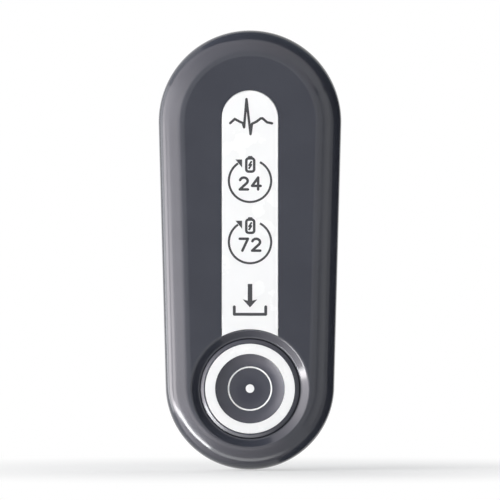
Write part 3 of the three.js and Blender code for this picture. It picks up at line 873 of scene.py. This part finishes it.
def stroke(points, width):
    """A line with round ends and corners, as one flat solid for each of its runs."""
    runs = []
    half = (width / 2, width / 2)
    for start, end in zip(points, points[1:]):
        turn = math.degrees(math.atan2(end[1] - start[1], end[0] - start[0]))
        runs.append(printed(
            arc(end, half, turn - 90, turn + 90, CORNER_STEPS)
            + arc(start, half, turn + 90, turn + 270, CORNER_STEPS)
        ))
    return runs


def band(centre, radius, width, start, end):
    """A stretch of a circular line."""
    outer, inner = radius + width / 2, radius - width / 2
    there = arc(centre, (outer, outer), start, end, END_STEPS)
    back = arc(centre, (inner, inner), end, start, END_STEPS)
    return printed(there + back)


def moved(points, x, y):
    return [(px + x, py + y) for px, py in points]


def digit(value, x, y):
    """A digit from straight and round strokes, drawn in a box of one by one."""
    forms = {
        2: [*arc((0.5, 0.72), (0.48, 0.28), 165, -40, CORNER_STEPS), (0, 0), (1, 0)],
        4: [(0.74, 0), (0.74, 1), (0, 0.3), (1.05, 0.3)],
        7: [(0, 1), (1, 1), (0.32, 0)],
    }
    points = [(x + px * DIGIT_WIDTH, y + py * DIGIT_HEIGHT) for px, py in forms[value]]
    return stroke(points, DIGIT_STROKE)


def countdown(y, digits):
    """A battery and a number in a circle that ends in an arrow."""
    x, height = BATTERY_PLACE
    can = rounded_rectangle(*BATTERY_HALF, BATTERY_NUB)
    nub_y = y + height + BATTERY_HALF[1] + BATTERY_NUB / 2
    nub = [(x - BATTERY_NUB / 2, nub_y), (x + BATTERY_NUB / 2, nub_y)]
    left = -(2 * DIGIT_WIDTH + DIGIT_GAP) / 2
    return [
        band((0, y), CIRCLE_RADIUS, ICON_STROKE, CIRCLE_START, CIRCLE_END),
        printed(moved(CIRCLE_HEAD, 0, y)),
        *stroke(moved([*can, can[0]], x, y + height), BATTERY_STROKE),
        *stroke(nub, BATTERY_NUB),
        *stroke(moved(BOLT, x, y + height), BOLT_STROKE),
        *digit(digits[0], left, y + DIGIT_BASE),
        *digit(digits[1], left + DIGIT_WIDTH + DIGIT_GAP, y + DIGIT_BASE),
    ]


icons = [
    *stroke(moved(BEAT, 0, ICON_PLACES[0]), BEAT_STROKE),
    *countdown(ICON_PLACES[1], (2, 4)),
    *countdown(ICON_PLACES[2], (7, 2)),
    printed(moved(ARROW_SHAFT, 0, ICON_PLACES[3])),
    printed(moved(ARROW_HEAD, 0, ICON_PLACES[3])),
    *stroke(moved(TRAY, 0, ICON_PLACES[3]), TRAY_STROKE),
]
piece("window_icons", carved(icons[0], icons[1:]), ink, "indicator_white", "housing")


# Event button

def dish(radius):
    """The height of the dish in the button's face at a radius."""
    return CAP_TOP - DISH_DEPTH * (1 - (radius / RING_INNER) ** DISH_POWER)


def dish_between(start, end):
    radii = [start + (end - start) * step / DISH_STEPS for step in range(DISH_STEPS + 1)]
    return [(radius, dish(radius)) for radius in radii]


def cap_edge():
    """The bevel round the button's face, rounded where it meets the face and the side."""
    size = (CAP_ROUND, CAP_ROUND)
    start = CAP_RADIUS - CAP_EDGE
    over = arc((start, CAP_TOP - CAP_ROUND), size, 90, 90 - CAP_SLOPE, EDGE_STEPS)
    side = arc((CAP_RADIUS - CAP_ROUND, 0), size, 90 - CAP_SLOPE, 0, EDGE_STEPS)
    fall = (side[0][0] - over[-1][0]) * math.tan(math.radians(CAP_SLOPE))
    shift = over[-1][1] - fall - side[0][1]
    return over + [(radius, z + shift) for radius, z in side]


groove = CAP_RADIUS - SEAL_GROOVE
cap = turned(
    [
        (0, dish(0) - INLAY_DEPTH),
        (DOT_RADIUS, dish(0) - INLAY_DEPTH),
        *dish_between(DOT_RADIUS, MARK_INNER),
        (MARK_INNER, dish(MARK_INNER) - INLAY_DEPTH),
        (MARK_OUTER, dish(MARK_INNER) - INLAY_DEPTH),
        *dish_between(MARK_OUTER, RING_INNER),
        (RING_INNER, CAP_TOP - RING_DEPTH),
        (RING_OUTER, CAP_TOP - RING_DEPTH),
        (RING_OUTER, CAP_TOP),
        *cap_edge(),
        (CAP_RADIUS, SEAL_PLACE + SEAL_WIDTH / 2),
        (groove, SEAL_PLACE + SEAL_WIDTH / 2),
        (groove, SEAL_PLACE - SEAL_WIDTH / 2),
        (CAP_RADIUS, SEAL_PLACE - SEAL_WIDTH / 2),
        (CAP_RADIUS, BOSS_BACK),
        (FLANGE_RADIUS, BOSS_BACK),
        (FLANGE_RADIUS, FLANGE_BACK),
        (SKIRT_RADIUS, FLANGE_BACK),
        (SKIRT_RADIUS, CAP_TOP - CAP_PLATE),
        (POST_RADIUS, CAP_TOP - CAP_PLATE),
        (POST_RADIUS, POST_END),
        (0, POST_END),
    ],
    0,
    BUTTON_PLACE,
)
piece("event_button_skin", plain(cap), button_grey, "button_plastic", "button", "event_button")


def inlay(name, inner, outer, floor, face, node):
    """A white ring or dot let into the button, with its top edges rounded."""
    size = INLAY_ROUND
    rise = arc((outer - size, face(outer) - size), (size, size), 0, 90, TINY_STEPS)
    fall = arc((inner + size, face(inner) - size), (size, size), 90, 180, TINY_STEPS)
    if inner == 0:
        profile = [(0, floor), (outer, floor), *rise, (outer / 2, face(outer / 2)), (0, face(0))]
        solid = turned(profile, 0, BUTTON_PLACE, SMALL_STEPS)
    else:
        profile = [(inner, floor), (outer, floor), *rise, *fall]
        solid = turned(profile, 0, BUTTON_PLACE, closed=True)
    piece(name, plain(solid), white, "indicator_white", "button", node)


inlay(
    "button_ring_skin", RING_INNER + INLAY_GAP, RING_OUTER - INLAY_GAP,
    CAP_TOP - RING_DEPTH, lambda radius: CAP_TOP, "button_ring",
)
inlay(
    "button_circle_mark_skin", MARK_INNER + INLAY_GAP, MARK_OUTER - INLAY_GAP,
    dish(MARK_INNER) - INLAY_DEPTH, dish, "button_circle_mark",
)
inlay(
    "button_centre_dot_skin", 0, DOT_RADIUS - INLAY_GAP,
    dish(0) - INLAY_DEPTH, dish, "button_centre_dot",
)


# Cable socket

def socket_shell():
    """The tube of the socket, with a round rim at its mouth."""
    across = rounded_levels(0, SHELL_WALL, SHELL_ROUND)
    rim = [(widening, SHELL_FACE - inset) for inset, widening in reversed(across)]
    levels = [(SHELL_WALL, SHELL_BACK), *rim, (0, SHELL_BACK)]
    rings = [[(x, y, z) for x, z in socket_section(widening)] for widening, y in levels]
    return skin(rings, closed=True)


piece(
    "socket_shell_skin", plain(socket_shell()), black, "socket_plastic", "housing", "socket_shell"
)


def contact(at):
    """A contact of the socket, as a block with rounded edges."""
    pitch = MOUTH_WIDTH / (CONTACT_COUNT + 1)
    x = pitch * (at + 1) - MOUTH_WIDTH / 2
    rings = []
    for inset, y in rounded_levels(CONTACT_FACE - CONTACT_LENGTH, CONTACT_FACE, CONTACT_ROUND):
        half_width, half_height = CONTACT_WIDTH / 2 - inset, CONTACT_HEIGHT / 2 - inset
        ring = rounded_rectangle(half_width, half_height, CONTACT_ROUND)
        rings.append([(x + px, y, SOCKET_AXIS + pz) for px, pz in ring])
    return skin(rings)


contacts = [contact(at) for at in range(CONTACT_COUNT)]
piece(
    "socket_contacts_skin", plain(*contacts), gold, "contact_gold", "housing",
    *(f"socket_contact_{at + 1}" for at in range(CONTACT_COUNT)),
)


# Screws

def screw(x, y):
    """A screw with its head to the back and a cross recess in it."""
    edge_centre = (HEAD_RADIUS - HEAD_ROUND, HEAD_FACE + HEAD_ROUND)
    edge = arc(edge_centre, (HEAD_ROUND, -HEAD_ROUND), 90, 0, EDGE_STEPS)
    form = turned(
        [
            (0, HEAD_FACE),
            *edge,
            (HEAD_RADIUS, HEAD_SEAT),
            (SCREW_RADIUS, HEAD_SEAT),
            (SCREW_RADIUS, SCREW_TIP),
            (0, SCREW_TIP),
        ],
        x,
        y,
        SMALL_STEPS,
    )
    levels = ((HEAD_FACE - OVERRUN, 1), (HEAD_FACE, 1), (HEAD_FACE + CROSS_DEPTH, CROSS_TAPER))
    cross = []
    for along_x in (True, False):
        rings = []
        for level, share in levels:
            reach = CROSS_REACH * share
            wide, long = (reach, CROSS_HALF) if along_x else (CROSS_HALF, reach)
            corners = ((wide, long), (-wide, long), (-wide, -long), (wide, -long))
            rings.append([(x + px, y + py, level) for px, py in corners])
        cross.append(skin(rings))
    return carved(form, (), cross)


for number, place in enumerate(SCREW_PLACES, 1):
    node = f"housing_screw_{number}"
    piece(f"{node}_skin", screw(*place), steel, "screw_steel", "housing", node)


# Studio

def node_setup(owner):
    """The nodes and links of a material or a world, cleared."""
    owner.use_nodes = True
    owner.node_tree.nodes.clear()
    return owner.node_tree.nodes, owner.node_tree.links


def floor_material():
    """Pale, and plain white to the camera a little away from the recorder's shadow."""
    material = bpy.data.materials.new("studio_floor")
    nodes, links = node_setup(material)
    output = nodes.new("ShaderNodeOutputMaterial")
    pale = nodes.new("ShaderNodeBsdfDiffuse")
    pale.inputs["Color"].default_value = linear(FLOOR_SHADE, FLOOR_SHADE, FLOOR_SHADE)
    glow = nodes.new("ShaderNodeEmission")
    path = nodes.new("ShaderNodeLightPath")
    place = nodes.new("ShaderNodeTexCoord")
    length = nodes.new("ShaderNodeVectorMath")
    length.operation = "LENGTH"
    fade = nodes.new("ShaderNodeMapRange")
    fade.interpolation_type = "SMOOTHSTEP"
    for end, reach, cleared in zip(("Min", "Max"), SHADOW_REACH, SHADOW_CLEARED):
        fade.inputs[f"From {end}"].default_value = reach
        fade.inputs[f"To {end}"].default_value = cleared
    share = nodes.new("ShaderNodeMath")
    share.operation = "MULTIPLY"
    mix = nodes.new("ShaderNodeMixShader")
    links.new(place.outputs["Object"], length.inputs[0])
    links.new(length.outputs["Value"], fade.inputs["Value"])
    links.new(fade.outputs["Result"], share.inputs[0])
    links.new(path.outputs["Is Camera Ray"], share.inputs[1])
    links.new(share.outputs["Value"], mix.inputs["Fac"])
    links.new(pale.outputs["BSDF"], mix.inputs[1])
    links.new(glow.outputs["Emission"], mix.inputs[2])
    links.new(mix.outputs["Shader"], output.inputs["Surface"])
    return material


def studio_floor():
    reach = FLOOR_REACH
    corners = [(-reach, -reach, 0), (reach, -reach, 0), (reach, reach, 0), (-reach, reach, 0)]
    mesh = bpy.data.meshes.new("studio_floor")
    mesh.from_pydata(corners, [], [(0, 1, 2, 3)])
    mesh.materials.append(floor_material())
    floor = bpy.data.objects.new("studio_floor", mesh)
    floor.location = (0, 0, cad_box[0][2] - FLOOR_DROP)
    floor.visible_glossy = False
    bpy.context.scene.collection.objects.link(floor)


def studio_world():
    """White where it is seen or mirrored, and dimmer as a light on the recorder."""
    world = bpy.data.worlds.new("studio")
    bpy.context.scene.world = world
    nodes, links = node_setup(world)
    output = nodes.new("ShaderNodeOutputWorld")
    background = nodes.new("ShaderNodeBackground")
    background.inputs["Color"].default_value = (*NEUTRAL, 1)
    path = nodes.new("ShaderNodeLightPath")
    seen = nodes.new("ShaderNodeMath")
    seen.operation = "MAXIMUM"
    through_glass = nodes.new("ShaderNodeMath")
    through_glass.operation = "MAXIMUM"
    level = nodes.new("ShaderNodeMapRange")
    level.inputs["To Min"].default_value = WORLD_LIGHT
    level.inputs["To Max"].default_value = 1
    links.new(path.outputs["Is Camera Ray"], seen.inputs[0])
    links.new(path.outputs["Is Glossy Ray"], seen.inputs[1])
    links.new(seen.outputs["Value"], through_glass.inputs[0])
    links.new(path.outputs["Is Transmission Ray"], through_glass.inputs[1])
    links.new(through_glass.outputs["Value"], level.inputs["Value"])
    links.new(level.outputs["Result"], background.inputs["Strength"])
    links.new(background.outputs["Background"], output.inputs["Surface"])


def direction(azimuth, elevation):
    """A unit vector; azimuth 0 is towards the camera and 90 to the camera's left."""
    a, e = math.radians(azimuth), math.radians(elevation)
    return Vector((-math.sin(a) * math.cos(e), -math.cos(a) * math.cos(e), math.sin(e)))


def lamp(name, azimuth, elevation, distance, size, radiance):
    """A square soft box that faces the recorder and isn't mirrored in it. The radiance is how
    bright its face is."""
    data = bpy.data.lights.new(name, "AREA")
    data.shape = "RECTANGLE"
    data.size, data.size_y = size, size
    data.energy = math.pi * size * size * radiance
    thing = bpy.data.objects.new(name, data)
    thing.location = direction(azimuth, elevation) * distance
    thing.rotation_mode = "QUATERNION"
    thing.rotation_quaternion = thing.location.to_track_quat("Z", "Y")
    thing.visible_camera = False
    thing.visible_glossy = False
    bpy.context.scene.collection.objects.link(thing)


def card_material(name, color):
    """A glow whose strength is painted on the mesh."""
    material = bpy.data.materials.new(name)
    nodes, links = node_setup(material)
    glow = nodes.new("ShaderNodeEmission")
    glow.inputs["Color"].default_value = (*color, 1)
    level = nodes.new("ShaderNodeAttribute")
    level.attribute_name = "brightness"
    output = nodes.new("ShaderNodeOutputMaterial")
    links.new(level.outputs["Fac"], glow.inputs["Strength"])
    links.new(glow.outputs["Emission"], output.inputs["Surface"])
    return material


def toward(clock, off):
    """A unit vector, turned about the camera's axis and leaning off it, in degrees."""
    turn, lean = math.radians(clock), math.radians(off)
    across = math.sin(lean)
    return Vector((across * math.cos(turn), -math.cos(lean), across * math.sin(turn)))


def card(name, distance, stations, color=NEUTRAL, blocks=False):
    """A bent plane that is only seen in reflections, or that also keeps light off. It is given
    by stations of (clock, near, far, near brightness, far brightness): how it is turned about
    the camera's axis, from 0 on the camera's right through 90 above, how far off that axis it
    starts and ends, and how bright it is there."""
    points, faces, levels = [], [], []
    for start, end in zip(stations, stations[1:]):
        steps = max(1, round(abs(end[0] - start[0]) / CARD_TURN))
        for step in range(steps + 1):
            station = [low + (high - low) * step / steps for low, high in zip(start, end)]
            clock, near, far, near_level, far_level = station
            for part in range(CARD_PARTS + 1):
                share = part / CARD_PARTS
                points.append(middle + toward(clock, near + (far - near) * share) * distance)
                levels.append(near_level + (far_level - near_level) * share)
            if step:
                row = len(points) - CARD_PARTS - 1
                for corner in range(row, row + CARD_PARTS):
                    below = corner - CARD_PARTS - 1
                    faces.append((corner, corner + 1, below + 1, below))
    mesh = bpy.data.meshes.new(name)
    mesh.from_pydata(points, [], faces)
    mesh.attributes.new("brightness", "FLOAT", "POINT").data.foreach_set("value", levels)
    mesh.materials.append(card_material(name, color))
    thing = bpy.data.objects.new(name, mesh)
    bpy.context.scene.collection.objects.link(thing)
    thing.visible_camera = False
    thing.visible_diffuse = blocks
    thing.visible_shadow = False


def front_camera():
    """The camera, square on to the front and far enough off for a nearly flat view."""
    data = bpy.data.cameras.new("camera")
    data.sensor_width = SENSOR_WIDTH
    data.lens = SENSOR_WIDTH * VIEW_DISTANCE / VIEW_HEIGHT
    data.clip_start = CLIP_START
    data.clip_end = CLIP_END
    camera = bpy.data.objects.new("camera", data)
    camera.location = (0, middle[1] - VIEW_DISTANCE, middle[2])
    camera.rotation_euler = (math.pi / 2, 0, 0)
    bpy.context.scene.collection.objects.link(camera)
    bpy.context.scene.camera = camera


studio_floor()
studio_world()
front_camera()
lamp("key_softbox", 62, 12, 0.9, 0.6, 8)
lamp("front_fill", 32, -4, 1.6, 0.8, 4.4)
lamp("side_fill", -128, 12, 1.4, 0.8, 2)
lamp("back_fill", 150, 30, 1.4, 0.8, 2)

# Reflections: a soft box and strips on the left, and dark flags on the right and above. Of the
# strips on the left, the near ones make its light grow towards the bottom.
card("left_box_reflection", 0.9, (
    (30, 34, 62, 0.9, 0.9), (60, 34, 62, 1, 1.3), (100, 36, 64, 1.1, 1.7), (125, 36, 80, 1.6, 1.8),
    (145, 36, 88, 2.6, 2.9), (162, 36, 88, 3.4, 4.9), (200, 36, 88, 3.6, 5), (222, 36, 90, 2, 3.6),
    (240, 34, 90, 1.9, 1.7), (270, 32, 80, 1.9, 0.6), (300, 32, 80, 1.3, 0.6),
), ROSY)
card("left_strip_reflection", 0.3, (
    (142, 60, 70, 2.8, 2.8), (156, 60, 70, 4.6, 4.6), (173, 60, 70, 4.8, 4.8),
    (186, 60, 70, 8.8, 8.8), (206, 60, 70, 8.4, 8.4),
), ROSY)
card("left_ridge_reflection", 0.29, (
    (150, 76, 94, 4, 4), (173, 76, 94, 6.2, 6.2), (186, 76, 94, 10, 10), (197, 74, 90, 11, 11),
    (202, 70, 86, 24, 12), (206, 66, 82, 32, 12),
), ROSY)
card("left_edge_reflection", 0.3, (
    (150, 94, 118, 2.4, 2.4), (173, 94, 120, 2.8, 2.8), (187, 94, 119, 5.6, 5.6),
    (197, 90, 110, 6, 6), (206, 84, 104, 5, 5),
))
card("low_strip_reflection", 0.82, (
    (199, 62, 80, 16, 12), (205, 60, 75, 28, 20), (210, 58, 66, 28, 28), (230, 57, 62, 30, 30),
    (238, 58, 63, 30, 30), (240, 58, 66, 5, 5), (280, 59, 67, 4, 4), (300, 59, 67, 1, 1),
))
card("dish_reflection", 0.87, (
    (172, 30, 47, 1, 3.6), (188, 33, 47, 1.4, 4.4), (205, 36, 47, 2, 4.8), (228, 36, 47, 2.2, 5),
    (246, 33, 46, 1.4, 3), (262, 32, 43, 1.6, 2.6), (290, 32, 42, 1.4, 2),
), ROSY)
card("front_reflection", 0.9, ((0, 0, 9, 0.45, 0.45), (360, 0, 9, 0.45, 0.45)))
card("right_reflection", 0.9, (
    (-40, 44, 72, 0.6, 0.7), (-5, 44, 70, 0.6, 0.8), (25, 44, 62, 0.9, 0.9),
))
card("right_line_reflection", 0.88, (
    (-38, 50, 58, 1, 1), (-8, 50, 58, 1.25, 1.25), (22, 50, 58, 1.3, 1.3), (40, 49, 58, 1.3, 1.3),
    (62, 48, 56, 1.2, 1.2),
))
card("right_flag", 1, (
    (-70, 72, 130, 0.1, 0.1), (-45, 70, 120, 0.03, 0.1), (-20, 69, 137, 0.02, 0.02),
    (15, 66, 137, 0.02, 0.02), (35, 60, 120, 0.02, 0.2), (60, 60, 110, 0.02, 0.6),
    (90, 64, 120, 0.02, 0.3), (110, 65, 120, 0.03, 0.3), (122, 74, 105, 0.05, 0.4),
), BLUISH, blocks=True)
card("right_inner_flag", 0.99, (
    (-36, 46, 72, 0.02, 0.02), (22, 46, 70, 0.02, 0.02), (32, 40, 61, 0.02, 0.02),
    (100, 40, 62, 0.02, 0.02),
), blocks=True)

bpy.context.scene.view_settings.view_transform = "Standard"
